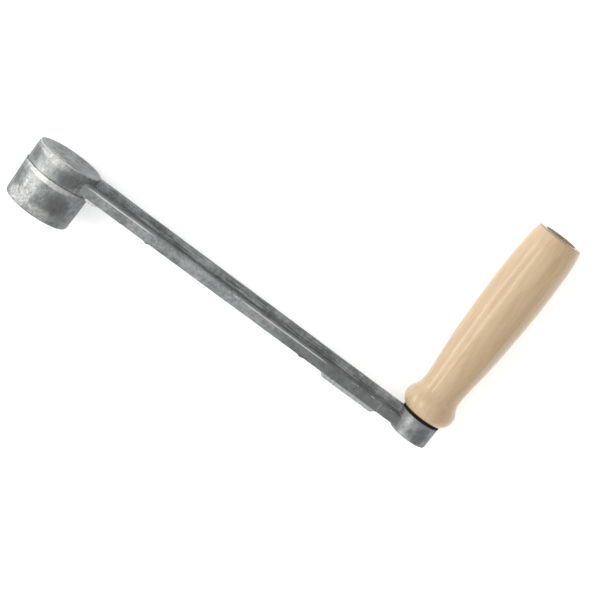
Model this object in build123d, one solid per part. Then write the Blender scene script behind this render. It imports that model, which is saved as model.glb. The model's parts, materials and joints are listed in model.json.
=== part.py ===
from build123d import *

import math
import os

# Bass string winder: a one-piece cast crank with a key cup at one end, and a wooden grip
# that turns freely on a bolted spindle at the other. Millimetres.
# The finished parts lie on their side, as the winder lies on a table. Origin: centre of the
# cup's mouth. +X: from the cup to the grip's axis. +Y: along both axes, to the grip's side.
# The functions below draw each piece upright, with the cup's axis along Z and heights measured
# from the mouth. LAID_DOWN turns it over when it is written.

# ---- Crank casting -------------------------------------------------------------------------
CRANK_RADIUS = 226.0        # cup axis to grip axis
CUP_HEIGHT = 33.0           # mouth to closed end
CUP_RADIUS = 19.0           # outside, just above the parting line
CUP_WALL = 3.4              # from the parting line's radius to the socket bore
CUP_CROWN = 4.0             # thickness of the closed end
TOP_DRAFT = 0.15            # radius lost from the parting line to the closed end
MOUTH_DRAFT = 0.55          # radius lost from the parting line to the mouth
PARTING_DEPTH = 11.75       # closed end down to the parting line
PARTING_STEP = 0.4          # how far the mouth half stands out at the parting line
MOUTH_EDGE = 1.5            # rounding of the mouth's outside edge
CROWN_EDGE = 0.4            # rounding of the closed end's outside edge
DISH_DEPTH = 0.9            # shallow round dish in the closed end
DISH_RIM = 1.1              # width of the flat rim round the dish

KEYWAY_WIDTH = 9.0          # gap between each pair of drive ribs, for the tuner's flat key
KEY_RIB_WIDTH = 3.0
KEY_RIB_REACH = 6.5         # how far a drive rib reaches in from the bore
KEY_LEAD_IN = 6.0           # plain bore between the mouth and the drive ribs
LEAD_IN_RELIEF = 0.5        # radius that the lead-in has over the socket behind it

RIB_PROUD = 0.5             # top of the arm's rib above the closed end
RIB_TOP_WIDTH = 4.2
RIB_FOOT_WIDTH = 4.8
RIB_FOOT_DEPTH = 3.9        # closed end down to the foot of the rib
FLANGE_TOP_DEPTH = 4.4      # closed end down to the flange's top edge
FLANGE_BOTTOM_DEPTH = 10.2  # closed end down to the flange's underside
FLANGE_HALF_AT_CUP = 12.7   # half width at the cup's axis
FLANGE_HALF_AT_BOSS = 7.6   # half width at the boss's axis
FLANGE_SIDE_DRAFT = 0.3
RIB_FOOT_FILLET = 0.9
RIB_EDGE = 0.6
FLANGE_EDGE = 0.45

BOSS_RADIUS = 11.1
BOSS_EDGE = 0.7             # rounding of the boss's lower edge
BOSS_WEB = 5.2              # metal left above the nut pocket

# ---- Spindle and its hardware --------------------------------------------------------------
BOLT_RADIUS = 3.0           # M6
BOLT_HEAD_RADIUS = 8.85
BOLT_HEAD_HEIGHT = 2.0
BOLT_HEAD_EDGE = 0.5
BOLT_HEAD_PROUD = 0.3       # above the end of the grip
BOLT_TIP_CHAMFER = 0.6
HEX_SOCKET_FLATS = 4.0
HEX_SOCKET_DEPTH = 3.2
SLEEVE_RADIUS = 5.0
HEAD_WASHER_RADIUS = 8.6
HEAD_WASHER_THICKNESS = 1.0
BASE_WASHER_THICKNESS = 1.5
NUT_FLATS = 10.0
NUT_HEIGHT = 5.0
SPRING_WASHER_RADIUS = 5.6
SPRING_WASHER_THICKNESS = 1.2
SPRING_WASHER_SLIT = 0.8
SPRING_WASHER_SLIT_LEAN = 20.0

# ---- Grip ----------------------------------------------------------------------------------
GRIP_LENGTH = 116.7
GRIP_BASE_RADIUS = 11.5
GRIP_BULB_RADIUS = 14.8
GRIP_BULB_HEIGHT = 6.3
GRIP_NECK_RADIUS = 11.6
GRIP_NECK_HEIGHT = 16.5
GRIP_BELLY_RADIUS = 15.1
GRIP_END_RADIUS = 12.6
GRIP_END_EDGE = 1.2         # rounding of the end's outside edge
GRIP_BASE_EDGE = 0.5
# The long swell above the neck: how far up from neck to end, and the radius there.
LOWER_SWELL = (0.20, 13.2)
UPPER_SWELL = (0.44, 14.6)
BELLY = (0.66, GRIP_BELLY_RADIUS)
SHOULDER = (0.85, 14.65)
END_LEAN = 0.33             # inward slope of the outline where it meets the end

# ---- Fits ----------------------------------------------------------------------------------
TURNING_FIT = 0.08          # radial, grip bore on the sleeve
END_PLAY = 0.15             # at each end of the grip
BOLT_FIT = 0.1              # radial, sleeve and washers on the bolt
BOLT_HOLE_FIT = 0.3         # radial, boss hole on the bolt
WASHER_FIT = 0.3            # radial, base washer round the sleeve
HEAD_FIT = 0.25             # radial, bolt head in the grip's counterbore
NUT_FIT = 1.6               # radial, round the nut's corners, for a socket wrench
NUT_SINK = 0.4              # bolt tip and nut below the boss's underside
BASE_WASHER_OVERHANG = 0.1  # base washer past the boss

# ---- Derived places ------------------------------------------------------------------------
SOCKET_RADIUS = CUP_RADIUS - CUP_WALL
SOCKET_DEPTH = CUP_HEIGHT - CUP_CROWN
LEAD_IN_RADIUS = SOCKET_RADIUS + LEAD_IN_RELIEF
PARTING_Z = CUP_HEIGHT - PARTING_DEPTH
RIB_TOP_Z = CUP_HEIGHT + RIB_PROUD
BOSS_TOP_Z = RIB_TOP_Z
BASE_WASHER_RADIUS = BOSS_RADIUS + BASE_WASHER_OVERHANG
GRIP_BASE_Z = BOSS_TOP_Z + BASE_WASHER_THICKNESS + END_PLAY
GRIP_END_Z = GRIP_BASE_Z + GRIP_LENGTH
HEAD_TOP_Z = GRIP_END_Z + BOLT_HEAD_PROUD
HEAD_UNDER_Z = HEAD_TOP_Z - BOLT_HEAD_HEIGHT
SLEEVE_TOP_Z = HEAD_UNDER_Z - HEAD_WASHER_THICKNESS
COUNTERBORE_Z = SLEEVE_TOP_Z - END_PLAY
POCKET_TOP_Z = BOSS_TOP_Z - BOSS_WEB
NUT_TOP_Z = POCKET_TOP_Z - SPRING_WASHER_THICKNESS
NUT_BOTTOM_Z = NUT_TOP_Z - NUT_HEIGHT
BOSS_BOTTOM_Z = min(PARTING_Z, NUT_BOTTOM_Z - NUT_SINK)
NUT_CORNER_RADIUS = NUT_FLATS / math.sqrt(3)

GRIP_AXIS = Pos(CRANK_RADIUS, 0, 0)
LAID_DOWN = Rot(-90, 0, 0)
REACH_PAST = 5.0            # how far a cutter runs past the face that it opens


def column(radius, low, high):
    """Solid cylinder about Z between two heights."""
    return Pos(0, 0, low) * extrude(Circle(radius), high - low)


def tube(outer, inner, low, high):
    return column(outer, low, high) - column(inner, low, high)


def turned(points):
    """Solid of revolution about Z from (radius, height) corners."""
    outline = Polyline(*[(radius, 0, height) for radius, height in points], close=True)
    return revolve(make_face(outline), Axis.Z)


def circles_at(solid, height):
    """The solid's circular edges that lie at one height."""
    edges = solid.edges().filter_by(GeomType.CIRCLE)
    return edges.filter_by_position(Axis.Z, height - 0.01, height + 0.01)


def largest_circle_at(solid, height):
    return circles_at(solid, height).sort_by(lambda edge: edge.radius)[-1]


def cup_body():
    """Outside of the cup, with the parting step and the two opposite drafts."""
    cup = turned([
        (0, 0),
        (CUP_RADIUS + PARTING_STEP - MOUTH_DRAFT, 0),
        (CUP_RADIUS + PARTING_STEP, PARTING_Z),
        (CUP_RADIUS, PARTING_Z),
        (CUP_RADIUS - TOP_DRAFT, CUP_HEIGHT),
        (0, CUP_HEIGHT),
    ])
    cup = fillet(largest_circle_at(cup, 0), MOUTH_EDGE)
    return fillet(largest_circle_at(cup, CUP_HEIGHT), CROWN_EDGE)


def arm_section(x, flange_half):
    """The arm's inverted T at one place along it, with every edge rounded."""
    bottom = CUP_HEIGHT - FLANGE_BOTTOM_DEPTH
    flange_top = CUP_HEIGHT - FLANGE_TOP_DEPTH
    foot = CUP_HEIGHT - RIB_FOOT_DEPTH
    half = [
        (flange_half, bottom),
        (flange_half - FLANGE_SIDE_DRAFT, flange_top),
        (RIB_FOOT_WIDTH / 2, foot),
        (RIB_TOP_WIDTH / 2, RIB_TOP_Z),
    ]
    mirrored = [(-y, z) for y, z in reversed(half)]
    section = make_face(Polyline(*half, *mirrored, close=True))

    def corners(height):
        return section.vertices().filter_by_position(Axis.Y, height - 0.01, height + 0.01)

    section = fillet(corners(bottom) + corners(flange_top), FLANGE_EDGE)
    section = fillet(corners(foot), RIB_FOOT_FILLET)
    section = fillet(corners(RIB_TOP_Z), RIB_EDGE)
    return Plane(origin=(x, 0, 0), x_dir=(0, 1, 0), z_dir=(1, 0, 0)) * section


def arm():
    at_cup = arm_section(0, FLANGE_HALF_AT_CUP)
    at_boss = arm_section(CRANK_RADIUS, FLANGE_HALF_AT_BOSS)
    return loft([at_cup, at_boss], ruled=True)


def boss_body():
    boss = column(BOSS_RADIUS, BOSS_BOTTOM_Z, BOSS_TOP_Z)
    return GRIP_AXIS * fillet(largest_circle_at(boss, BOSS_BOTTOM_Z), BOSS_EDGE)


def drive_ribs():
    """Two pairs of ribs across the socket, which leave the keyway between them."""
    inner = SOCKET_RADIUS - KEY_RIB_REACH
    length = SOCKET_RADIUS + CUP_WALL / 2 - inner
    height = SOCKET_DEPTH - KEY_LEAD_IN
    ribs = []
    for side_x in (-1, 1):
        for side_y in (-1, 1):
            centre_x = side_x * (inner + length / 2)
            centre_y = side_y * (KEYWAY_WIDTH + KEY_RIB_WIDTH) / 2
            rib = extrude(Rectangle(length, KEY_RIB_WIDTH), height)
            ribs.append(Pos(centre_x, centre_y, KEY_LEAD_IN) * rib)
    return ribs


def dish_cutter():
    """Everything above the closed end's dish, whose floor is part of a large ball."""
    rim = CUP_RADIUS - TOP_DRAFT - DISH_RIM
    lowest = CUP_HEIGHT - DISH_DEPTH
    ball = (rim**2 + DISH_DEPTH**2) / (2 * DISH_DEPTH)
    return column(rim, lowest, RIB_TOP_Z + REACH_PAST) & Pos(0, 0, lowest + ball) * Sphere(ball)


def crank_casting():
    casting = cup_body() + arm() + boss_body()
    casting -= dish_cutter()
    casting -= column(SOCKET_RADIUS, -REACH_PAST, SOCKET_DEPTH)
    casting -= column(LEAD_IN_RADIUS, -REACH_PAST, KEY_LEAD_IN)
    for rib in drive_ribs():
        casting += rib
    hole = column(BOLT_RADIUS + BOLT_HOLE_FIT, POCKET_TOP_Z - REACH_PAST, BOSS_TOP_Z + REACH_PAST)
    pocket = column(NUT_CORNER_RADIUS + NUT_FIT, BOSS_BOTTOM_Z - REACH_PAST, POCKET_TOP_Z)
    return casting - GRIP_AXIS * hole - GRIP_AXIS * pocket


def bulb_and_neck():
    """Convex arc of the bulb from the grip's base, and the hollow arc that joins it to the neck."""
    rise = GRIP_NECK_HEIGHT - GRIP_BULB_HEIGHT
    centre = GRIP_BULB_RADIUS**2 - GRIP_BULB_HEIGHT**2 - GRIP_BASE_RADIUS**2
    centre /= 2 * (GRIP_BULB_RADIUS - GRIP_BASE_RADIUS)
    bulb_arc = GRIP_BULB_RADIUS - centre
    offset = GRIP_NECK_RADIUS - centre
    neck_arc = (offset**2 + rise**2 - bulb_arc**2) / (2 * (bulb_arc - offset))
    slope = math.atan2(rise, offset + neck_arc)
    meeting = (centre + bulb_arc * math.cos(slope), 0, GRIP_BULB_HEIGHT + bulb_arc * math.sin(slope))
    base = (GRIP_BASE_RADIUS, 0, 0)
    bulb = (GRIP_BULB_RADIUS, 0, GRIP_BULB_HEIGHT)
    half = slope / 2
    hollow = (
        GRIP_NECK_RADIUS + neck_arc * (1 - math.cos(half)),
        0,
        GRIP_NECK_HEIGHT - neck_arc * math.sin(half),
    )
    neck = (GRIP_NECK_RADIUS, 0, GRIP_NECK_HEIGHT)
    return [ThreePointArc(base, bulb, meeting), ThreePointArc(meeting, hollow, neck)]


def swell_point(share, radius):
    """A point of the long swell, by its share of the way from the neck to the end."""
    return (radius, 0, GRIP_NECK_HEIGHT + share * (GRIP_LENGTH - GRIP_NECK_HEIGHT))


def grip_outline():
    """Half outline of the turned grip from its base to its end."""
    neck = (GRIP_NECK_RADIUS, 0, GRIP_NECK_HEIGHT)
    belly = swell_point(*BELLY)
    end = (GRIP_END_RADIUS, 0, GRIP_LENGTH)
    up = (0, 0, 1)
    lower = Spline(neck, swell_point(*LOWER_SWELL), swell_point(*UPPER_SWELL), belly, tangents=[up, up])
    upper = Spline(belly, swell_point(*SHOULDER), end, tangents=[up, (-END_LEAN, 0, 1)])
    return bulb_and_neck() + [lower, upper]


def grip():
    """Wooden handle, turned about its bore, with a counterbore for the bolt's head."""
    end = (GRIP_END_RADIUS, 0, GRIP_LENGTH)
    base = (GRIP_BASE_RADIUS, 0, 0)
    middle = Polyline(end, (0, 0, GRIP_LENGTH), (0, 0, 0), base)
    wood = revolve(make_face(grip_outline() + [middle]), Axis.Z)
    wood = fillet(largest_circle_at(wood, GRIP_LENGTH), GRIP_END_EDGE)
    wood = fillet(largest_circle_at(wood, 0), GRIP_BASE_EDGE)
    wood = Pos(0, 0, GRIP_BASE_Z) * wood
    wood -= column(SLEEVE_RADIUS + TURNING_FIT, GRIP_BASE_Z - REACH_PAST, GRIP_END_Z + REACH_PAST)
    wood -= column(BOLT_HEAD_RADIUS + HEAD_FIT, COUNTERBORE_Z, GRIP_END_Z + REACH_PAST)
    return GRIP_AXIS * wood


def spindle_bolt():
    """Long bolt with a wide flat head, a hexagon socket and a chamfered tip."""
    shank = column(BOLT_RADIUS, NUT_BOTTOM_Z, HEAD_UNDER_Z)
    shank = chamfer(largest_circle_at(shank, NUT_BOTTOM_Z), BOLT_TIP_CHAMFER)
    head = column(BOLT_HEAD_RADIUS, HEAD_UNDER_Z, HEAD_TOP_Z)
    head = fillet(largest_circle_at(head, HEAD_TOP_Z), BOLT_HEAD_EDGE)
    socket = RegularPolygon(HEX_SOCKET_FLATS / 2, 6, major_radius=False)
    socket = Pos(0, 0, HEAD_TOP_Z - HEX_SOCKET_DEPTH) * extrude(socket, HEX_SOCKET_DEPTH + REACH_PAST)
    return GRIP_AXIS * (shank + head - socket)


def spindle_sleeve():
    return GRIP_AXIS * tube(SLEEVE_RADIUS, BOLT_RADIUS + BOLT_FIT, BOSS_TOP_Z, SLEEVE_TOP_Z)


def head_washer():
    return GRIP_AXIS * tube(HEAD_WASHER_RADIUS, BOLT_RADIUS + BOLT_FIT, SLEEVE_TOP_Z, HEAD_UNDER_Z)


def base_washer():
    inner = SLEEVE_RADIUS + WASHER_FIT
    return GRIP_AXIS * tube(BASE_WASHER_RADIUS, inner, BOSS_TOP_Z, BOSS_TOP_Z + BASE_WASHER_THICKNESS)


def spring_washer():
    """Split lock washer, drawn flat as it is when the nut is tight."""
    ring = tube(SPRING_WASHER_RADIUS, BOLT_RADIUS + BOLT_FIT, NUT_TOP_Z, POCKET_TOP_Z)
    slit = Box(SPRING_WASHER_RADIUS, SPRING_WASHER_SLIT, 4 * SPRING_WASHER_THICKNESS)
    middle = (NUT_TOP_Z + POCKET_TOP_Z) / 2
    slit = Pos(SPRING_WASHER_RADIUS, 0, middle) * Rot(SPRING_WASHER_SLIT_LEAN, 0, 0) * slit
    return GRIP_AXIS * (ring - slit)


def spindle_nut():
    """Hexagon nut with its corners turned off at both faces."""
    hexagon = RegularPolygon(NUT_FLATS / 2, 6, major_radius=False)
    prism = Pos(0, 0, NUT_BOTTOM_Z) * extrude(hexagon, NUT_HEIGHT)
    corner = NUT_CORNER_RADIUS - NUT_FLATS / 2
    rise = corner * math.tan(math.radians(30))
    barrel = turned([
        (0, NUT_BOTTOM_Z),
        (NUT_FLATS / 2, NUT_BOTTOM_Z),
        (NUT_CORNER_RADIUS, NUT_BOTTOM_Z + rise),
        (NUT_CORNER_RADIUS, NUT_TOP_Z - rise),
        (NUT_FLATS / 2, NUT_TOP_Z),
        (0, NUT_TOP_Z),
    ])
    thread = column(BOLT_RADIUS, NUT_BOTTOM_Z - REACH_PAST, NUT_TOP_Z + REACH_PAST)
    return GRIP_AXIS * ((prism & barrel) - thread)


PARTS = {
    "crank_casting": crank_casting,
    "grip": grip,
    "spindle_bolt": spindle_bolt,
    "spindle_sleeve": spindle_sleeve,
    "head_washer": head_washer,
    "base_washer": base_washer,
    "spring_washer": spring_washer,
    "spindle_nut": spindle_nut,
}


def main():
    os.makedirs("parts", exist_ok=True)
    for node, make in PARTS.items():
        export_step(LAID_DOWN * make(), f"parts/{node}.step")


main()
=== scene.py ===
import json
import math

import bmesh
import bpy
import numpy as np
from mathutils import Matrix, Vector, noise


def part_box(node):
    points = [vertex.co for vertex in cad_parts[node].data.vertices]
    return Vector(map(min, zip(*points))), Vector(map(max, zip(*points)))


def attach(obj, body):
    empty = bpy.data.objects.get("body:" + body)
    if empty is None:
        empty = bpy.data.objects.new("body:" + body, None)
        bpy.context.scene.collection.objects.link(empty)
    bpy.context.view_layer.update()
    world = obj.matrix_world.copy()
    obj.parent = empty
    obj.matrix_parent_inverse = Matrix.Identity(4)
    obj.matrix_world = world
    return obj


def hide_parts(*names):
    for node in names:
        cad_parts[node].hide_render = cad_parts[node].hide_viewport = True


# A bass string winder: a rough one-piece casting with a key cup, and a varnished wooden grip
# that turns on a bolted spindle. Everything is in metres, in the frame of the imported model.
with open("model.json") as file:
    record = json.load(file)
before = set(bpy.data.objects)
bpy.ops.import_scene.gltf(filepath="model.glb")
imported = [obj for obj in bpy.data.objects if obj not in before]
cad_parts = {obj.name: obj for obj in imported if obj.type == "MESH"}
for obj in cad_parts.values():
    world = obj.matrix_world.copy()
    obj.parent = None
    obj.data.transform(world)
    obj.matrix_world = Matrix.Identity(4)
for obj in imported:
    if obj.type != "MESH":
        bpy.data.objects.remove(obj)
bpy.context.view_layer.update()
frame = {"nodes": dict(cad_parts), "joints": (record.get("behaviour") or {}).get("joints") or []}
NODES = frame["nodes"]
MM = 0.001

# ---- Places, all from the frame -------------------------------------------------------------
CAST_LOW, CAST_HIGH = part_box("crank_casting")
GRIP_LOW, GRIP_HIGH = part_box("grip")
GRIP_X = frame["joints"][0]["pos_m"][0]
RIB_OVER_CUP = 0.5 * MM                # how far the arm's rib stands over the cup's closed end
CUP_R = CAST_HIGH.z
CUP_TOP = CAST_HIGH.y - RIB_OVER_CUP
PARTING_Y = CUP_TOP - 11.75 * MM       # the cup's ledge
FLANGE_TOP_Y = CUP_TOP - 4.4 * MM
FLANGE_UNDER_Y = CUP_TOP - 10.2 * MM
FLANGE_HALF_AT_CUP = 12.7 * MM
FLANGE_HALF_AT_GRIP = 7.6 * MM
BOSS_R = CAST_HIGH.x - GRIP_X
GRIP_RADIUS = GRIP_HIGH.z


def flange_half(x):
    """Half the width of the arm's flange at a distance from the cup's axis."""
    share = x / GRIP_X
    return FLANGE_HALF_AT_CUP + share * (FLANGE_HALF_AT_GRIP - FLANGE_HALF_AT_CUP)


# ---- Node helpers ---------------------------------------------------------------------------
def add(tree, kind, inputs=(), **settings):
    """Adds a node. inputs pairs a socket's name or number with a value or a socket to link."""
    made = tree.nodes.new(kind)
    for name, value in settings.items():
        setattr(made, name, value)
    for key, value in dict(inputs).items():
        if isinstance(value, bpy.types.NodeSocket):
            tree.links.new(value, made.inputs[key])
        else:
            made.inputs[key].default_value = value
    return made


def sum_of(tree, operation, a, b=0.0, clamp=False):
    """A Math node's result."""
    made = add(tree, "ShaderNodeMath", {0: a, 1: b}, operation=operation, use_clamp=clamp)
    return made.outputs[0]


def times(tree, a, b):
    return sum_of(tree, "MULTIPLY", a, b)


def plus(tree, a, b):
    return sum_of(tree, "ADD", a, b)


def either(tree, a, b):
    """The larger of two masks."""
    return sum_of(tree, "MAXIMUM", a, b)


def any_of(tree, *masks):
    """The largest of several masks."""
    found = masks[0]
    for mask in masks[1:]:
        found = either(tree, found, mask)
    return found


def spread(tree, value, low, high, to_low=0.0, to_high=1.0):
    """Maps low..high onto to_low..to_high, smoothly and clamped."""
    ends = {"Value": value, 1: low, 2: high, 3: to_low, 4: to_high}
    return add(tree, "ShaderNodeMapRange", ends, interpolation_type="SMOOTHSTEP").outputs[0]


def blend(tree, share, a, b):
    """A colour between a and b."""
    mixed = add(tree, "ShaderNodeMix", {0: share, 6: a, 7: b}, data_type="RGBA")
    return mixed.outputs[2]


def scaled(tree, vector, scale):
    """The place, stretched: a feature is longer where the scale is smaller."""
    ends = {0: vector, 1: scale}
    return add(tree, "ShaderNodeVectorMath", ends, operation="MULTIPLY").outputs[0]


def away_from(tree, place, centre):
    """The vector from a centre to a place."""
    ends = {0: place, 1: centre}
    return add(tree, "ShaderNodeVectorMath", ends, operation="SUBTRACT").outputs[0]


def length_of(tree, vector):
    """A vector's length."""
    return add(tree, "ShaderNodeVectorMath", {0: vector}, operation="LENGTH").outputs["Value"]


def from_axis(tree, place, centre_x=0.0):
    """How far a place is from the line along Y at centre_x."""
    away = away_from(tree, place, (centre_x, 0.0, 0.0))
    return length_of(tree, scaled(tree, away, (1.0, 0.0, 1.0)))


def cloud(tree, vector, size, detail=3.0, rough=0.55, twist=0.0):
    """Noise with features of about that size in metres, from 0 to 1 with its middle at 0.5."""
    ends = {"Vector": vector, "Scale": 1.0 / size, "Detail": detail, "Roughness": rough}
    ends["Distortion"] = twist
    return add(tree, "ShaderNodeTexNoise", ends).outputs["Fac"]


def shaken(tree, vector, size, reach):
    """The place, moved about by noise, so that a mask's outline is ragged."""
    cells = add(tree, "ShaderNodeTexNoise", {"Vector": vector, "Scale": 1.0 / size, "Detail": 3.0})
    middle = away_from(tree, cells.outputs["Color"], (0.5,) * 3)
    ends = {0: vector, 1: scaled(tree, middle, (2 * reach,) * 3)}
    return add(tree, "ShaderNodeVectorMath", ends, operation="ADD").outputs[0]


def spot(tree, vector, centre, reach, edge=0.5):
    """A mask: 1 in an ellipsoid, 0 at its surface. edge is the share of it that fades."""
    ends = {0: away_from(tree, vector, centre), 1: reach}
    shares = add(tree, "ShaderNodeVectorMath", ends, operation="DIVIDE").outputs[0]
    return spread(tree, length_of(tree, shares), 1.0, 1.0 - edge)


def band(tree, value, low, high, edge):
    """A mask that is 1 between low and high and fades out over edge."""
    rising = spread(tree, value, low - edge, low)
    falling = spread(tree, value, high + edge, high)
    return times(tree, rising, falling)


def new_material(name):
    """A material with one Principled shader, and the place on the object for its patterns."""
    made = bpy.data.materials.new(name)
    made.use_nodes = True
    tree = made.node_tree
    shader = tree.nodes["Principled BSDF"]
    place = tree.nodes.new("ShaderNodeTexCoord").outputs["Object"]
    return made, tree, shader, place


def bumped(tree, shader, height, distance):
    """Gives the shader a bump of that height in metres."""
    bump = add(tree, "ShaderNodeBump", {"Height": height, "Distance": distance, "Strength": 1.0})
    tree.links.new(bump.outputs["Normal"], shader.inputs["Normal"])


# ---- Cast metal -----------------------------------------------------------------------------
CAST_DARK = (0.125, 0.134, 0.131, 1)
CAST_PALE = (0.40, 0.42, 0.42, 1)
# the colour of the painted shade at the rib's foot, in the dish, above the ledge and round the
# mouth
CAST_PAINTED_SHADE = (0.055, 0.06, 0.055, 1)
CAST_GATE = (0.43, 0.44, 0.435, 1)
CAST_BRIGHT = (0.62, 0.62, 0.595, 1)
CAST_GRAZING_TINT = (0.8, 0.8, 0.8, 1)         # of what it reflects at a grazing angle
CAST_METALLIC = 0.85
# how metallic the casting is where the shade is painted, so that it stays dark
PAINTED_SHADE_METALLIC = 0.15
CAST_ROUGH = 0.54
# how rough the bright marks are: rubbed and filed metal, painted highlights and painted reflection
WEAR_AND_HIGHLIGHT_ROUGH = 0.38
# how rough the casting is where the shade is painted
PAINTED_SHADE_ROUGH = 0.9
DARK_SHARE = 0.65              # how much of the dark colour the dark patches take
# how much of the painted shade colour the shade masks take
PAINTED_SHADE_SHARE = 0.8
FOOT_SHARE = 0.5               # painted shade at the rib's foot, next to that in the cup's corners
# how bright the rubbed patches and the painted reflection are
RUBBED_AND_REFLECTION_SHARE = 0.9
UPPER_SHARE = 0.6              # painted reflection above the cup's ledge, next to that below it
BOSS_SHARE = 0.55
JOINT_SHARE = 0.3
RIM_SHARE = 0.8
GRIT_ROUGHNESS = 0.08          # what the grit adds
CAST_BUMP = 0.13 * MM


def cup_spot(tree, place, x, y, reach, side=1.0, edge=0.6):
    """A patch on the cup's wall, at x across and y above the mouth, on the +Z or -Z side."""
    z = side * math.sqrt(max(CUP_R ** 2 - x ** 2, 0.0))
    return spot(tree, place, (x, y, z), reach, edge)


def rubbed_and_reflection_mask(tree, place):
    """Bright patches: a column down the cup's +Z side, which is painted reflection, and rubbed
    patches down its -Z side, at its rim, mouth and lower corner, and on the boss.
    """
    ragged = shaken(tree, place, 3 * MM, 1.8 * MM)
    # painted reflection: a bright band down the cup's +Z side, with its upper part below
    column = cup_spot(tree, ragged, -7.0 * MM, 12 * MM, (6.5 * MM, 20 * MM, 10 * MM))
    upper = cup_spot(tree, ragged, -5.5 * MM, 25 * MM, (6 * MM, 8 * MM, 10 * MM))
    rim = cup_spot(tree, ragged, -5.0 * MM, 31.5 * MM, (14 * MM, 3.6 * MM, 12 * MM), edge=0.4)
    mouth = cup_spot(tree, ragged, 4 * MM, 3.5 * MM, (13 * MM, 4.2 * MM, 8 * MM))
    corner = cup_spot(tree, ragged, -12 * MM, 4 * MM, (7 * MM, 6 * MM, 10 * MM))
    far = cup_spot(tree, ragged, 6 * MM, 12 * MM, (6 * MM, 15 * MM, 8 * MM), side=-1.0)
    centre = (GRIP_X - 4.6 * MM, 27 * MM, 10 * MM)
    boss = spot(tree, ragged, centre, (3.2 * MM, 9 * MM, 4 * MM), 0.6)
    centre = (GRIP_X + 4 * MM, 27 * MM, -10 * MM)
    boss_far = spot(tree, ragged, centre, (3.5 * MM, 8 * MM, 4 * MM), 0.6)
    upper = times(tree, upper, UPPER_SHARE)
    bosses = times(tree, either(tree, boss, boss_far), BOSS_SHARE)
    return any_of(tree, column, upper, rim, mouth, corner, far, bosses)


def filed_mask(tree, place, y):
    """The crescents filed along the parting line of the cup, thicker in the middle."""
    ragged = shaken(tree, place, 5 * MM, 0.5 * MM)
    centre = (-1 * MM, PARTING_Y - 0.6 * MM, CUP_R - 5 * MM)
    near = spot(tree, ragged, centre, (18 * MM, 2.9 * MM, 26 * MM), 0.3)
    centre = (-2 * MM, PARTING_Y - 1.2 * MM, -CUP_R)
    away = spot(tree, ragged, centre, (12 * MM, 2.2 * MM, 12 * MM), 0.25)
    below = spread(tree, y, PARTING_Y + 0.1 * MM, PARTING_Y - 0.1 * MM)
    return times(tree, either(tree, near, away), below)


def dark_mask(tree, place):
    """Darker patches: painted shade on the cup's +X side, and painted reflection of darker
    surroundings in bands near its -X edge; on its back, the boss and the arm's side the casting is
    just darker.
    """
    ragged = shaken(tree, place, 4 * MM, 2.5 * MM)
    # painted shade on the cup's side towards the arm
    low = cup_spot(tree, ragged, 10 * MM, 12 * MM, (9 * MM, 8 * MM, 12 * MM))
    high = cup_spot(tree, ragged, 9 * MM, 26 * MM, (9 * MM, 6 * MM, 12 * MM))
    # painted reflection: dark bands near the cup's -X edge
    left = cup_spot(tree, ragged, -15 * MM, 27 * MM, (3.5 * MM, 5 * MM, 8 * MM))
    side = cup_spot(tree, ragged, -16 * MM, 13 * MM, (3 * MM, 6 * MM, 8 * MM))
    back = cup_spot(tree, ragged, -8 * MM, 12 * MM, (9 * MM, 8 * MM, 12 * MM), side=-1.0)
    boss = spot(tree, ragged, (GRIP_X + 4.5 * MM, 27 * MM, 10 * MM), (5 * MM, 8 * MM, 6 * MM), 0.6)
    arm_side = spot(tree, ragged, (186 * MM, 25.7 * MM, 9 * MM), (60 * MM, 6 * MM, 6 * MM), 0.4)
    return any_of(tree, low, high, left, side, back, boss, arm_side)


def past_flange(tree, x, across):
    """How far outside the flange's side a place is; it is negative on the arm."""
    slope = (FLANGE_HALF_AT_CUP - FLANGE_HALF_AT_GRIP) / GRIP_X
    half = plus(tree, times(tree, x, -slope), FLANGE_HALF_AT_CUP)
    return sum_of(tree, "SUBTRACT", across, half)


def flash_mask(tree, x, y, z, x_from, x_to):
    """The paler broken edge of a strip of flash, which hangs under the flange's +Z edge."""
    along = band(tree, x, x_from, x_to, 0.3 * MM)
    outer = spread(tree, past_flange(tree, x, z), -1.7 * MM, -1.3 * MM)
    under = spread(tree, y, FLANGE_UNDER_Y + 0.6 * MM, FLANGE_UNDER_Y + 0.1 * MM)
    return times(tree, times(tree, along, outer), under)


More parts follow.
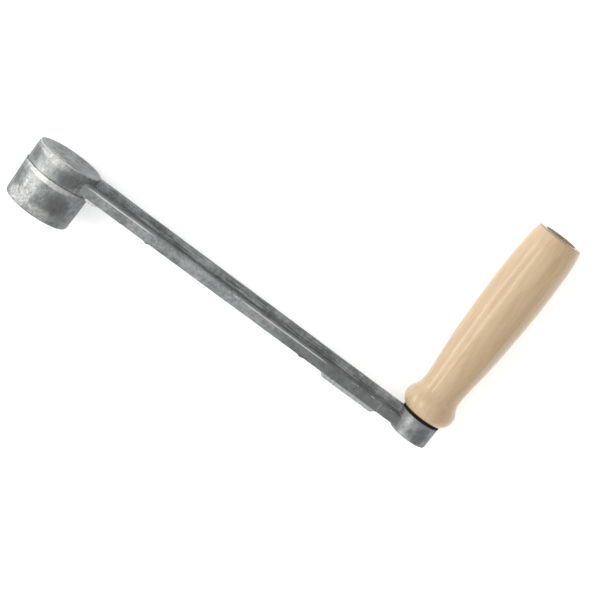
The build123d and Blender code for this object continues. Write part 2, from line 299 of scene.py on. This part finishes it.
def edge_highlights_and_seam(tree, place, x, y, across):
    """Thin bright lines: painted highlights along the flange's top edge and the cup's rim, and a
    joint of the mould.
    """
    along = cloud(tree, scaled(tree, place, (1.0, 0.3, 0.3)), 9 * MM, 4.0, 0.65)
    by_cup = band(tree, x, 24 * MM, 52 * MM, 10 * MM)
    middle = times(tree, band(tree, x, 120 * MM, 164 * MM, 8 * MM), 0.75)
    sparse = spread(tree, along, 0.56, 0.66, 0.0, 0.6)
    strength = spread(tree, along, 0.25, 0.45, 0.5, 1.0)
    patchy = times(tree, any_of(tree, by_cup, middle, sparse), strength)
    # painted highlight along the flange's top edge
    edge = band(tree, past_flange(tree, x, across), -0.7 * MM, -0.35 * MM, 0.15 * MM)
    height = band(tree, y, FLANGE_TOP_Y - 0.55 * MM, FLANGE_TOP_Y + 0.3 * MM, 0.15 * MM)
    edge_highlight = times(tree, times(tree, edge, height), patchy)
    side = spread(tree, y, FLANGE_TOP_Y + 0.6 * MM, FLANGE_TOP_Y)
    joint = times(tree, band(tree, x, SEAM_X - 0.12 * MM, SEAM_X + 0.12 * MM, 0.15 * MM), side)
    # painted highlight along the cup's rim
    at_rim = spread(tree, from_axis(tree, place), CUP_R - 1.5 * MM, CUP_R - 1.2 * MM)
    rim = times(tree, band(tree, y, CUP_TOP - 0.4 * MM, CUP_TOP + 0.1 * MM, 0.15 * MM), at_rim)
    rim = times(tree, rim, spread(tree, x, 12 * MM, 3 * MM))
    return any_of(tree, edge_highlight, times(tree, joint, JOINT_SHARE), times(tree, rim, RIM_SHARE))


def foot_shade(tree, y, across, on_arm):
    """Painted shade along the foot of the arm's rib."""
    near = band(tree, across, 2.2 * MM, 2.9 * MM, 0.5 * MM)
    low = band(tree, y, FLANGE_TOP_Y - 0.3 * MM, FLANGE_TOP_Y + 0.9 * MM, 0.4 * MM)
    return times(tree, times(tree, near, low), on_arm)


def dish_shade(tree, place, y):
    """Painted shade in the dish of the cup's closed end, thickest beside its rim on the +Z side.
    """
    below_rim = spread(tree, y, CUP_TOP, CUP_TOP - 0.12 * MM)
    above_socket = spread(tree, y, CUP_TOP - 1.6 * MM, CUP_TOP - 1.2 * MM)
    beside = spot(tree, place, (3 * MM, CUP_TOP, CUP_R + 1 * MM), (21 * MM, 9 * MM, 22 * MM), 0.9)
    inside = spread(tree, from_axis(tree, place), CUP_R - 1.6 * MM, CUP_R - 1.9 * MM)
    in_dish = times(tree, times(tree, below_rim, above_socket), inside)
    return times(tree, in_dish, beside)


def ledge_shade(tree, x, y):
    """Painted shade in the corner above the cup's ledge, and round the edge of its mouth."""
    corner = band(tree, y, PARTING_Y + 0.05 * MM, PARTING_Y + 0.35 * MM, 0.15 * MM)
    mouth = spread(tree, y, 0.7 * MM, 0.3 * MM)
    on_cup = spread(tree, x, 21 * MM, 18 * MM)
    return times(tree, either(tree, corner, mouth), on_cup)


def cast_tone(tree, clouds, mottle, grit, streaked, on_rib, on_arm):
    """How pale the cast skin is, from its clouds and grit, and its streaks along the arm."""
    tone = plus(tree, times(tree, clouds, 0.35), times(tree, mottle, 0.40))
    tone = plus(tree, tone, times(tree, grit, 0.28))
    on_streaks = plus(tree, times(tree, on_rib, 0.8), times(tree, on_arm, 0.2))
    tone = plus(tree, tone, times(tree, streaked, on_streaks))
    return plus(tree, tone, times(tree, on_rib, -0.045))


def worn_edges(tree, place):
    """Edges rubbed bright, more in some places than in others."""
    sharp = add(tree, "ShaderNodeNewGeometry").outputs["Pointiness"]
    uneven = spread(tree, cloud(tree, place, 5 * MM), 0.35, 0.6, 0.1, 0.6)
    return times(tree, spread(tree, sharp, 0.53, 0.60), uneven)


def cast_metal():
    """Rough cast metal: cloudy and mottled, streaked along the arm, rubbed bright in places, with
    painted shade in its corners and dish, painted highlights along edges and painted reflection on
    the cup.
    """
    made, tree, shader, place = new_material("cast_metal_skin")
    axes = add(tree, "ShaderNodeSeparateXYZ", {0: place})
    x, y, z = axes.outputs
    across = sum_of(tree, "ABSOLUTE", z)
    clouds = cloud(tree, place, 14 * MM, 4.0, 0.6)
    mottle = cloud(tree, place, 2.4 * MM, 5.0, 0.65, 0.4)
    grit = cloud(tree, place, 0.6 * MM, 3.0, 0.7)
    streaks = cloud(tree, scaled(tree, place, (0.07, 1.0, 1.0)), 1.1 * MM, 4.0, 0.6)
    streaked = times(tree, sum_of(tree, "SUBTRACT", streaks, 0.5), 0.75)
    on_arm = band(tree, x, 26 * MM, GRIP_X - 13 * MM, 5 * MM)
    on_rib = times(tree, spread(tree, y, FLANGE_TOP_Y, FLANGE_TOP_Y + 0.6 * MM), on_arm)
    tone = cast_tone(tree, clouds, mottle, grit, streaked, on_rib, on_arm)
    colour = blend(tree, spread(tree, tone, 0.33, 0.70), CAST_DARK, CAST_PALE)
    colour = blend(tree, times(tree, dark_mask(tree, place), DARK_SHARE), colour, CAST_DARK)
    foot = times(tree, foot_shade(tree, y, across, on_arm), FOOT_SHARE)
    # painted shade: the rib's foot, the dish, the corner above the ledge and the mouth's edge
    painted_shade = any_of(tree, foot, dish_shade(tree, place, y), ledge_shade(tree, x, y))
    colour = blend(tree, times(tree, painted_shade, PAINTED_SHADE_SHARE), colour, CAST_PAINTED_SHADE)
    gate = flash_mask(tree, x, y, z, GATE_FROM, GATE_TO)
    colour = blend(tree, gate, colour, CAST_GATE)
    lip = flash_mask(tree, x, y, z, LIP_FROM + 2 * MM, LIP_TO)
    colour = blend(tree, lip, colour, CAST_BRIGHT)
    speckle = spread(tree, cloud(tree, place, 1.5 * MM, 6.0, 0.85, 0.6), 0.34, 0.68, 0.0, 0.95)
    # rubbed patches, and a painted reflection down the cup's +Z side
    rubbed = times(tree, rubbed_and_reflection_mask(tree, place), times(tree, speckle, RUBBED_AND_REFLECTION_SHARE))
    filed = times(tree, filed_mask(tree, place, y), spread(tree, mottle, 0.34, 0.62, 0.45, 0.95))
    # painted highlights along the flange's top edge and the cup's rim, and the mould's joint
    lines = edge_highlights_and_seam(tree, place, x, y, across)
    bright = any_of(tree, rubbed, filed, worn_edges(tree, place), lines)
    colour = blend(tree, bright, colour, CAST_BRIGHT)
    tree.links.new(colour, shader.inputs["Base Color"])
    shader.inputs["Specular Tint"].default_value = CAST_GRAZING_TINT
    metallic = spread(tree, painted_shade, 0.0, PAINTED_SHADE_SHARE, CAST_METALLIC, PAINTED_SHADE_METALLIC)
    tree.links.new(metallic, shader.inputs["Metallic"])
    rough = spread(tree, bright, 0.0, 1.0, CAST_ROUGH, WEAR_AND_HIGHLIGHT_ROUGH)
    rough = either(tree, rough, times(tree, painted_shade, PAINTED_SHADE_ROUGH))
    rough = plus(tree, rough, times(tree, grit, GRIT_ROUGHNESS))
    tree.links.new(rough, shader.inputs["Roughness"])
    pits = plus(tree, times(tree, mottle, 0.8), times(tree, grit, 0.4))
    bumped(tree, shader, plus(tree, pits, times(tree, streaked, 0.5)), CAST_BUMP)
    return made


# ---- Varnished wood -------------------------------------------------------------------------
WOOD_PALE = (0.585, 0.435, 0.265, 1)
WOOD_WARM = (0.50, 0.345, 0.192, 1)
WOOD_FLECK = (0.33, 0.19, 0.09, 1)
WOOD_END = (0.20, 0.14, 0.075, 1)
FLECK_SHARE = 0.35
END_SHARE = 0.85
WOOD_ROUGH = 0.55
VARNISH_ROUGH = 0.14
VARNISH_IOR = 1.38
WOOD_BUMP = 0.02 * MM


def end_grain(tree, place):
    """The two ends of the grip, where the grain is cut across and the varnish soaks in darker."""
    y = add(tree, "ShaderNodeSeparateXYZ", {0: place}).outputs[1]
    far = spread(tree, y, GRIP_HIGH.y - 0.9 * MM, GRIP_HIGH.y - 0.2 * MM)
    near = spread(tree, y, GRIP_LOW.y + 0.6 * MM, GRIP_LOW.y)
    return either(tree, far, near)


def varnished_wood():
    """Pale close-grained wood turned along its grain, under clear gloss varnish."""
    made, tree, shader, place = new_material("varnished_beech")
    bent = shaken(tree, place, 60 * MM, 1.2 * MM)
    figure = cloud(tree, scaled(tree, bent, (1.0, 0.14, 1.0)), 7 * MM, 4.0, 0.6, 1.4)
    grain = cloud(tree, scaled(tree, bent, (1.0, 0.03, 1.0)), 0.9 * MM, 4.0, 0.65)
    rays = cloud(tree, scaled(tree, place, (1.0, 0.12, 1.0)), 0.35 * MM, 2.0, 0.5)
    tone = plus(tree, times(tree, figure, 0.55), times(tree, grain, 0.35))
    tone = plus(tree, tone, times(tree, rays, 0.12))
    colour = blend(tree, spread(tree, tone, 0.36, 0.66), WOOD_PALE, WOOD_WARM)
    flecks = spread(tree, rays, 0.68, 0.80)
    colour = blend(tree, times(tree, flecks, FLECK_SHARE), colour, WOOD_FLECK)
    colour = blend(tree, times(tree, end_grain(tree, place), END_SHARE), colour, WOOD_END)
    tree.links.new(colour, shader.inputs["Base Color"])
    shader.inputs["Roughness"].default_value = WOOD_ROUGH
    shader.inputs["Coat Weight"].default_value = 1.0
    shader.inputs["Coat Roughness"].default_value = VARNISH_ROUGH
    shader.inputs["Coat IOR"].default_value = VARNISH_IOR
    bumped(tree, shader, plus(tree, grain, times(tree, rays, 0.3)), WOOD_BUMP)
    return made


# ---- Steel and fibre ------------------------------------------------------------------------
STEEL_DULL = (0.20, 0.165, 0.105, 1)
STEEL_CLEAN = (0.30, 0.25, 0.165, 1)
STEEL_GRAZING_TINT = (0.4, 0.37, 0.32, 1)      # of what it reflects at a grazing angle
TURNING_PITCH = 0.35 * MM
STEEL_ROUGH_FROM, STEEL_ROUGH_TO = 0.26, 0.42
STEEL_BUMP = 0.01 * MM
FIBRE_BLACK = (0.003, 0.0025, 0.002, 1)
FIBRE_RUBBED = (0.016, 0.010, 0.007, 1)
FIBRE_ROUGH = 0.8
FIBRE_SPECULAR = 0.2
FIBRE_BUMP = 0.05 * MM


def plated_steel():
    """Zinc-plated, pale yellow passivated steel with fine turning marks round the grip's axis."""
    made, tree, shader, place = new_material("zinc_plated_steel")
    radius = from_axis(tree, place, GRIP_X)
    rings = sum_of(tree, "SINE", times(tree, radius, 2 * math.pi / TURNING_PITCH))
    film = cloud(tree, place, 4 * MM, 4.0, 0.6)
    grit = cloud(tree, place, 0.4 * MM, 2.0, 0.6)
    tone = plus(tree, times(tree, film, 0.8), times(tree, grit, 0.25))
    colour = blend(tree, spread(tree, tone, 0.35, 0.7), STEEL_DULL, STEEL_CLEAN)
    tree.links.new(colour, shader.inputs["Base Color"])
    shader.inputs["Metallic"].default_value = 1.0
    shader.inputs["Specular Tint"].default_value = STEEL_GRAZING_TINT
    rough = spread(tree, tone, 0.3, 0.75, STEEL_ROUGH_FROM, STEEL_ROUGH_TO)
    tree.links.new(rough, shader.inputs["Roughness"])
    bumped(tree, shader, plus(tree, times(tree, rings, 0.2), grit), STEEL_BUMP)
    return made


def black_fibre():
    """Matt black vulcanised fibre, slightly brown where it is rubbed."""
    made, tree, shader, place = new_material("black_fibre_board")
    fibres = cloud(tree, scaled(tree, place, (1.0, 4.0, 1.0)), 1.2 * MM, 4.0, 0.7)
    rubbed = cloud(tree, place, 5 * MM, 2.0)
    tone = plus(tree, times(tree, fibres, 0.6), times(tree, rubbed, 0.4))
    colour = blend(tree, spread(tree, tone, 0.4, 0.68), FIBRE_BLACK, FIBRE_RUBBED)
    tree.links.new(colour, shader.inputs["Base Color"])
    shader.inputs["Roughness"].default_value = FIBRE_ROUGH
    shader.inputs["Specular IOR Level"].default_value = FIBRE_SPECULAR
    bumped(tree, shader, fibres, FIBRE_BUMP)
    return made


# ---- The casting's mesh ---------------------------------------------------------------------
VOXEL = 0.3 * MM
WELD = 0.001 * MM              # points of the CAD mesh nearer than this are one
SEAM_X = 205 * MM              # where two parts of the mould met, across the arm's flange
SEAM_HALF = 0.45 * MM          # beside it the skin isn't sunk, so that it stands out
GATE_FROM, GATE_TO = 169 * MM, 204.5 * MM      # a long run of flash near the grip
LIP_FROM, LIP_TO = 17.5 * MM, 27.5 * MM        # a short one beside the cup
FIN_STEP = 1.2 * MM            # between the rings of a strip's mesh
FIN_SUNK = 0.6 * MM            # how far a strip reaches up into the flange
FIN_RAGGED = 3 * MM            # the size of its broken edge's teeth
CRUMB_FROM, CRUMB_TO = 55.5 * MM, 59 * MM      # two specks along the arm
CHIP_FROM, CHIP_TO = 154 * MM, 158 * MM
WAVE_SIZE, WAVE_DEPTH = 11 * MM, 0.045 * MM    # the cast skin's long waves
RIPPLE_SIZE, RIPPLE_DEPTH = 3.2 * MM, 0.025 * MM
NICK_SIZE, NICK_DEPTH = 1.4 * MM, 0.22 * MM    # along the flange's lower edges
NICKED_FROM = 22 * MM          # where those edges leave the cup
NICKED_UP, NICKED_IN = 0.9 * MM, 0.8 * MM      # how far from the edge the nicks reach


def fin(mesh, x_from, x_to, drop, inset, proud, taper, seed):
    """A closed ragged strip of flash under the flange's +Z edge."""
    count = max(6, round((x_to - x_from) / FIN_STEP))
    rings = []
    for i in range(count + 1):
        share = i / count
        x = x_from + share * (x_to - x_from)
        fade = min(1.0, min(share, 1 - share) * (x_to - x_from) / taper)
        ragged = noise.noise(Vector((x / FIN_RAGGED, seed, 0.0)))
        low = FLANGE_UNDER_Y - drop * fade * (1.0 + 0.25 * ragged)
        high = FLANGE_UNDER_Y + FIN_SUNK
        out = flange_half(x) + proud * fade
        back = flange_half(x) - inset
        corners = [(x, low, back), (x, low, out), (x, high, out), (x, high, back)]
        rings.append([mesh.verts.new(c) for c in corners])
    for one, two in zip(rings, rings[1:]):
        for k in range(4):
            mesh.faces.new((one[k], one[(k + 1) % 4], two[(k + 1) % 4], two[k]))
    mesh.faces.new(rings[0][::-1])
    mesh.faces.new(rings[-1])


def flash_mesh():
    """All the flash left on the casting."""
    mesh = bmesh.new()
    wide, slim = 1.3 * MM, 1.0 * MM
    fin(mesh, GATE_FROM, GATE_TO, 2.0 * MM, wide, proud=0.3 * MM, taper=2.5 * MM, seed=1.0)
    fin(mesh, LIP_FROM, LIP_TO, 1.3 * MM, wide, proud=0.2 * MM, taper=3 * MM, seed=2.0)
    fin(mesh, CRUMB_FROM, CRUMB_TO, 0.6 * MM, slim, proud=0.2 * MM, taper=1.5 * MM, seed=3.0)
    fin(mesh, CHIP_FROM, CHIP_TO, 0.45 * MM, slim, proud=0.15 * MM, taper=1.5 * MM, seed=4.0)
    bmesh.ops.recalc_face_normals(mesh, faces=mesh.faces)
    made = bpy.data.meshes.new("flash")
    mesh.to_mesh(made)
    mesh.free()
    return made


def evaluated(thing):
    """The mesh that an object has after its modifiers."""
    bpy.context.view_layer.update()
    graph = bpy.context.evaluated_depsgraph_get()
    return bpy.data.meshes.new_from_object(thing.evaluated_get(graph))


def remeshed(mesh, size):
    """The mesh as even quads of that size, with all that overlaps fused."""
    scratch = bpy.data.objects.new("scratch", mesh)
    bpy.context.scene.collection.objects.link(scratch)
    fuse = scratch.modifiers.new("fuse", "REMESH")
    fuse.mode = "VOXEL"
    fuse.voxel_size = size
    made = evaluated(scratch)
    bpy.data.objects.remove(scratch)
    return made


def casting_mesh():
    """The CAD casting with its flash, as one even mesh."""
    joined = bmesh.new()
    joined.from_mesh(NODES["crank_casting"].data)
    flash = flash_mesh()
    joined.from_mesh(flash)
    bmesh.ops.remove_doubles(joined, verts=joined.verts, dist=WELD)
    made = bpy.data.meshes.new("casting")
    joined.to_mesh(made)
    joined.free()
    return remeshed(made, VOXEL)


def sink(place):
    """How far the cast skin lies inside the drawn one at a place, in metres."""
    wave = noise.noise(place / WAVE_SIZE) + 1.0
    ripple = noise.noise(place / RIPPLE_SIZE) + 1.0
    depth = WAVE_DEPTH * wave + RIPPLE_DEPTH * ripple
    if abs(place.x - SEAM_X) < SEAM_HALF:
        depth = 0.0
    low = place.y < FLANGE_UNDER_Y + NICKED_UP and NICKED_FROM < place.x < GRIP_X - BOSS_R
    if low and abs(place.z) > flange_half(place.x) - NICKED_IN:
        depth += NICK_DEPTH * (noise.noise(place / NICK_SIZE) + 0.6)
    return depth


def vectors_of(mesh, kind):
    """The mesh's vertex places ("co") or normals ("normal") as rows of three numbers."""
    rows = np.empty(3 * len(mesh.vertices), np.float32)
    mesh.vertices.foreach_get(kind, rows)
    return rows.reshape(-1, 3)


def roughened(mesh):
    """Sinks the mesh's points a little along their normals, and keeps them in the CAD box."""
    places = vectors_of(mesh, "co")
    normals = vectors_of(mesh, "normal")
    depths = np.array([sink(Vector(place)) for place in places], np.float32)
    moved = np.clip(places - normals * depths[:, None], np.array(CAST_LOW), np.array(CAST_HIGH))
    mesh.vertices.foreach_set("co", moved.astype(np.float32).ravel())
    mesh.update()
    return mesh


def casting(material):
    """The cast crank: cup, arm and boss in one."""
    piece = bpy.data.objects.new("cast_crank", roughened(casting_mesh()))
    bpy.context.scene.collection.objects.link(piece)
    piece.data.materials.clear()
    piece.data.materials.append(material)
    piece.data.shade_smooth()
    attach(piece, "crank")
    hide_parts("crank_casting")
    return piece


# ---- The other pieces are the CAD's own -----------------------------------------------------
def finish_node(name, material):
    """Gives a CAD node its material."""
    data = NODES[name].data
    data.materials.clear()
    data.materials.append(material)


# ---- Floor, light and camera ----------------------------------------------------------------
FLOOR_SIDE = 3.0
FLOOR_GAP = 0.02 * MM          # under the cup, so that the two surfaces don't coincide
FLOOR_WHITE = (0.93, 0.93, 0.93, 1)
FLOOR_ROUGH = 0.9
FLOOR_SPECULAR = 0.1
FLOOR_GLOW = 0.39
WHITE = (1.0, 1.0, 1.0, 1)
LIGHT_DISTANCE = 1.3
LIGHT_WIDTH = 0.24
LIGHT_LENGTH = 0.9
LOW_WINDOW = (-0.945, -0.2, 0.284)             # where it stands, seen from the grip
HIGH_WINDOW = (-0.62, -0.2, 0.76)
LOW_POWER = 2.9
HIGH_POWER = 2.5
WORLD_BRIGHT_SIDE = (-0.85, -0.15, 0.5)
WORLD_DIM = 0.43
WORLD_BRIGHT = 1.10


def floor():
    """A plain pale floor under the cup's edge and the grip's belly, on which the winder lies."""
    slope = math.atan2(CUP_R - GRIP_RADIUS, GRIP_X)
    mesh = bmesh.new()
    bmesh.ops.create_grid(mesh, x_segments=1, y_segments=1, size=FLOOR_SIDE)
    made = bpy.data.meshes.new("floor")
    mesh.to_mesh(made)
    mesh.free()
    thing = bpy.data.objects.new("floor", made)
    bpy.context.scene.collection.objects.link(thing)
    touching = Vector((0.0, 0.0, -CUP_R - FLOOR_GAP))
    thing.matrix_world = Matrix.Translation(touching) @ Matrix.Rotation(-slope, 4, "Y")
    material, _, shader, _ = new_material("pale_floor")
    shader.inputs["Base Color"].default_value = FLOOR_WHITE
    shader.inputs["Roughness"].default_value = FLOOR_ROUGH
    shader.inputs["Specular IOR Level"].default_value = FLOOR_SPECULAR
    shader.inputs["Emission Color"].default_value = WHITE
    shader.inputs["Emission Strength"].default_value = FLOOR_GLOW
    made.materials.append(material)


def soft_box(name, aim, direction, power):
    """A soft area light in a direction from the aim, facing it, with its length along Y."""
    data = bpy.data.lights.new(name, "AREA")
    data.shape = "RECTANGLE"
    data.size = LIGHT_WIDTH
    data.size_y = LIGHT_LENGTH
    data.energy = power
    thing = bpy.data.objects.new(name, data)
    bpy.context.scene.collection.objects.link(thing)
    back = Vector(direction).normalized()
    side = Vector((0.0, 1.0, 0.0)).cross(back).normalized()
    up = back.cross(side)
    turn = Matrix((side, up, back)).transposed().to_4x4()
    thing.matrix_world = Matrix.Translation(aim + back * LIGHT_DISTANCE) @ turn


def world_light():
    """A pale surround, brighter on the cup's side than on the grip's."""
    world = bpy.data.worlds.new("surround")
    bpy.context.scene.world = world
    world.use_nodes = True
    tree = world.node_tree
    direction = tree.nodes.new("ShaderNodeTexCoord").outputs["Generated"]
    ends = {0: direction, 1: WORLD_BRIGHT_SIDE}
    towards = add(tree, "ShaderNodeVectorMath", ends, operation="DOT_PRODUCT")
    strength = spread(tree, towards.outputs["Value"], -0.9, 0.9, WORLD_DIM, WORLD_BRIGHT)
    shade = tree.nodes["Background"]
    shade.inputs["Color"].default_value = WHITE
    tree.links.new(strength, shade.inputs["Strength"])


LENS = 108.0
SENSOR = 36.0
NEAREST, FURTHEST = 0.01, 50.0
TARGET = Vector((138.9 * MM, 45.0 * MM, 0.0))
DISTANCE = 0.9351
TILT = math.radians(10.9)      # towards +Y from straight above
LEAN = math.radians(-1.738)    # towards +X from straight above
ROLL = math.radians(36.988)


def camera():
    """Looks nearly straight down at the winder, rolled so that the arm runs down to the right."""
    data = bpy.data.cameras.new("camera")
    data.lens = LENS
    data.sensor_width = SENSOR
    data.clip_start = NEAREST
    data.clip_end = FURTHEST
    thing = bpy.data.objects.new("camera", data)
    bpy.context.scene.collection.objects.link(thing)
    level_part = math.cos(TILT)
    back = Vector((math.sin(LEAN) * level_part, math.sin(TILT), math.cos(LEAN) * level_part))
    level = Vector((0.0, 1.0, 0.0)).cross(back).normalized()
    rise = back.cross(level)
    right = math.cos(ROLL) * level + math.sin(ROLL) * rise
    up = back.cross(right)
    turn = Matrix((right, up, back)).transposed().to_4x4()
    thing.matrix_world = Matrix.Translation(TARGET + back * DISTANCE) @ turn
    bpy.context.scene.camera = thing


def build():
    """Everything in the scene."""
    bpy.context.scene.view_settings.view_transform = "Standard"
    steel = plated_steel()
    casting(cast_metal())
    finish_node("grip", varnished_wood())
    finish_node("base_washer", black_fibre())
    for name in ("spindle_bolt", "spindle_sleeve", "head_washer", "spring_washer", "spindle_nut"):
        finish_node(name, steel)
    floor()
    world_light()
    grip_middle = Vector((GRIP_X, 0.5 * (GRIP_LOW.y + GRIP_HIGH.y), 0.0))
    soft_box("low_window", grip_middle, LOW_WINDOW, LOW_POWER)
    soft_box("high_window", grip_middle, HIGH_WINDOW, HIGH_POWER)
    camera()


build()
